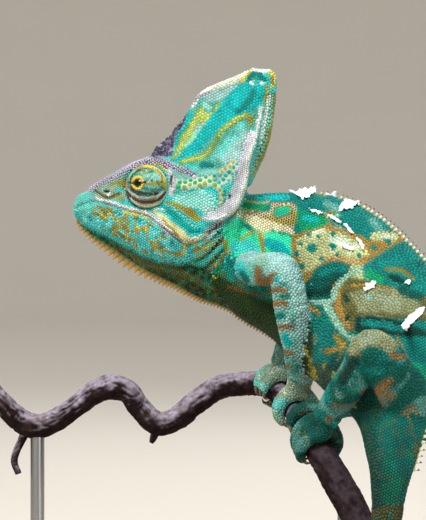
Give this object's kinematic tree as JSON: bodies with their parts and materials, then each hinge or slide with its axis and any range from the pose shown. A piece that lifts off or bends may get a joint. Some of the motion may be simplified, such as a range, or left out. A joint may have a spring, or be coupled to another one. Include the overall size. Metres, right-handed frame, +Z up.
{
  "type": "chameleon",
  "caption": "Male veiled chameleon with a tall casque, in turquoise and green breeding colours, gripping a short cut branch on a plain stand.",
  "frame": {"origin": "middle of the stand base's underside", "axes": "+Z up; the animal's head points to -X, its left side faces -Y"},
  "size_m": [0.1879, 0.1561, 0.2726],
  "materials": {
    "skin": "dry granular scales in turquoise, teal, pale aqua and gold",
    "eye": "scaled turret with a small glossy pupil",
    "claw": "grey-brown horn",
    "bark": "dry purple-brown bark",
    "stand_wood": "oiled dark wood",
    "stand_steel": "plain brushed steel"
  },
  "bodies": {
    "root": {"head": "skin", "casque": "skin", "lower_jaw": "skin", "trunk": "skin", "tail_base": "skin", "tail_middle": "skin", "tail_outer_coil": "skin", "tail_inner_coil": "skin", "upper_arm_left": "skin", "forearm_left": "skin", "hand_left": "skin", "thigh_left": "skin", "shin_left": "skin", "foot_left": "skin", "upper_arm_right": "skin", "forearm_right": "skin", "hand_right": "skin", "thigh_right": "skin", "shin_right": "skin", "foot_right": "skin", "eye_left": "eye", "eye_right": "eye", "claw_fore_left_1": "claw", "claw_fore_left_2": "claw", "claw_fore_left_3": "claw", "claw_fore_left_4": "claw", "claw_fore_left_5": "claw", "claw_fore_right_1": "claw", "claw_fore_right_2": "claw", "claw_fore_right_3": "claw", "claw_fore_right_4": "claw", "claw_fore_right_5": "claw", "claw_hind_left_1": "claw", "claw_hind_left_2": "claw", "claw_hind_left_3": "claw", "claw_hind_left_4": "claw", "claw_hind_left_5": "claw", "claw_hind_right_1": "claw", "claw_hind_right_2": "claw", "claw_hind_right_3": "claw", "claw_hind_right_4": "claw", "claw_hind_right_5": "claw", "perch_branch": "bark", "stand_base": "stand_wood", "stand_rod_left": "stand_steel", "stand_rod_right": "stand_steel"}
  },
  "joints": []
}
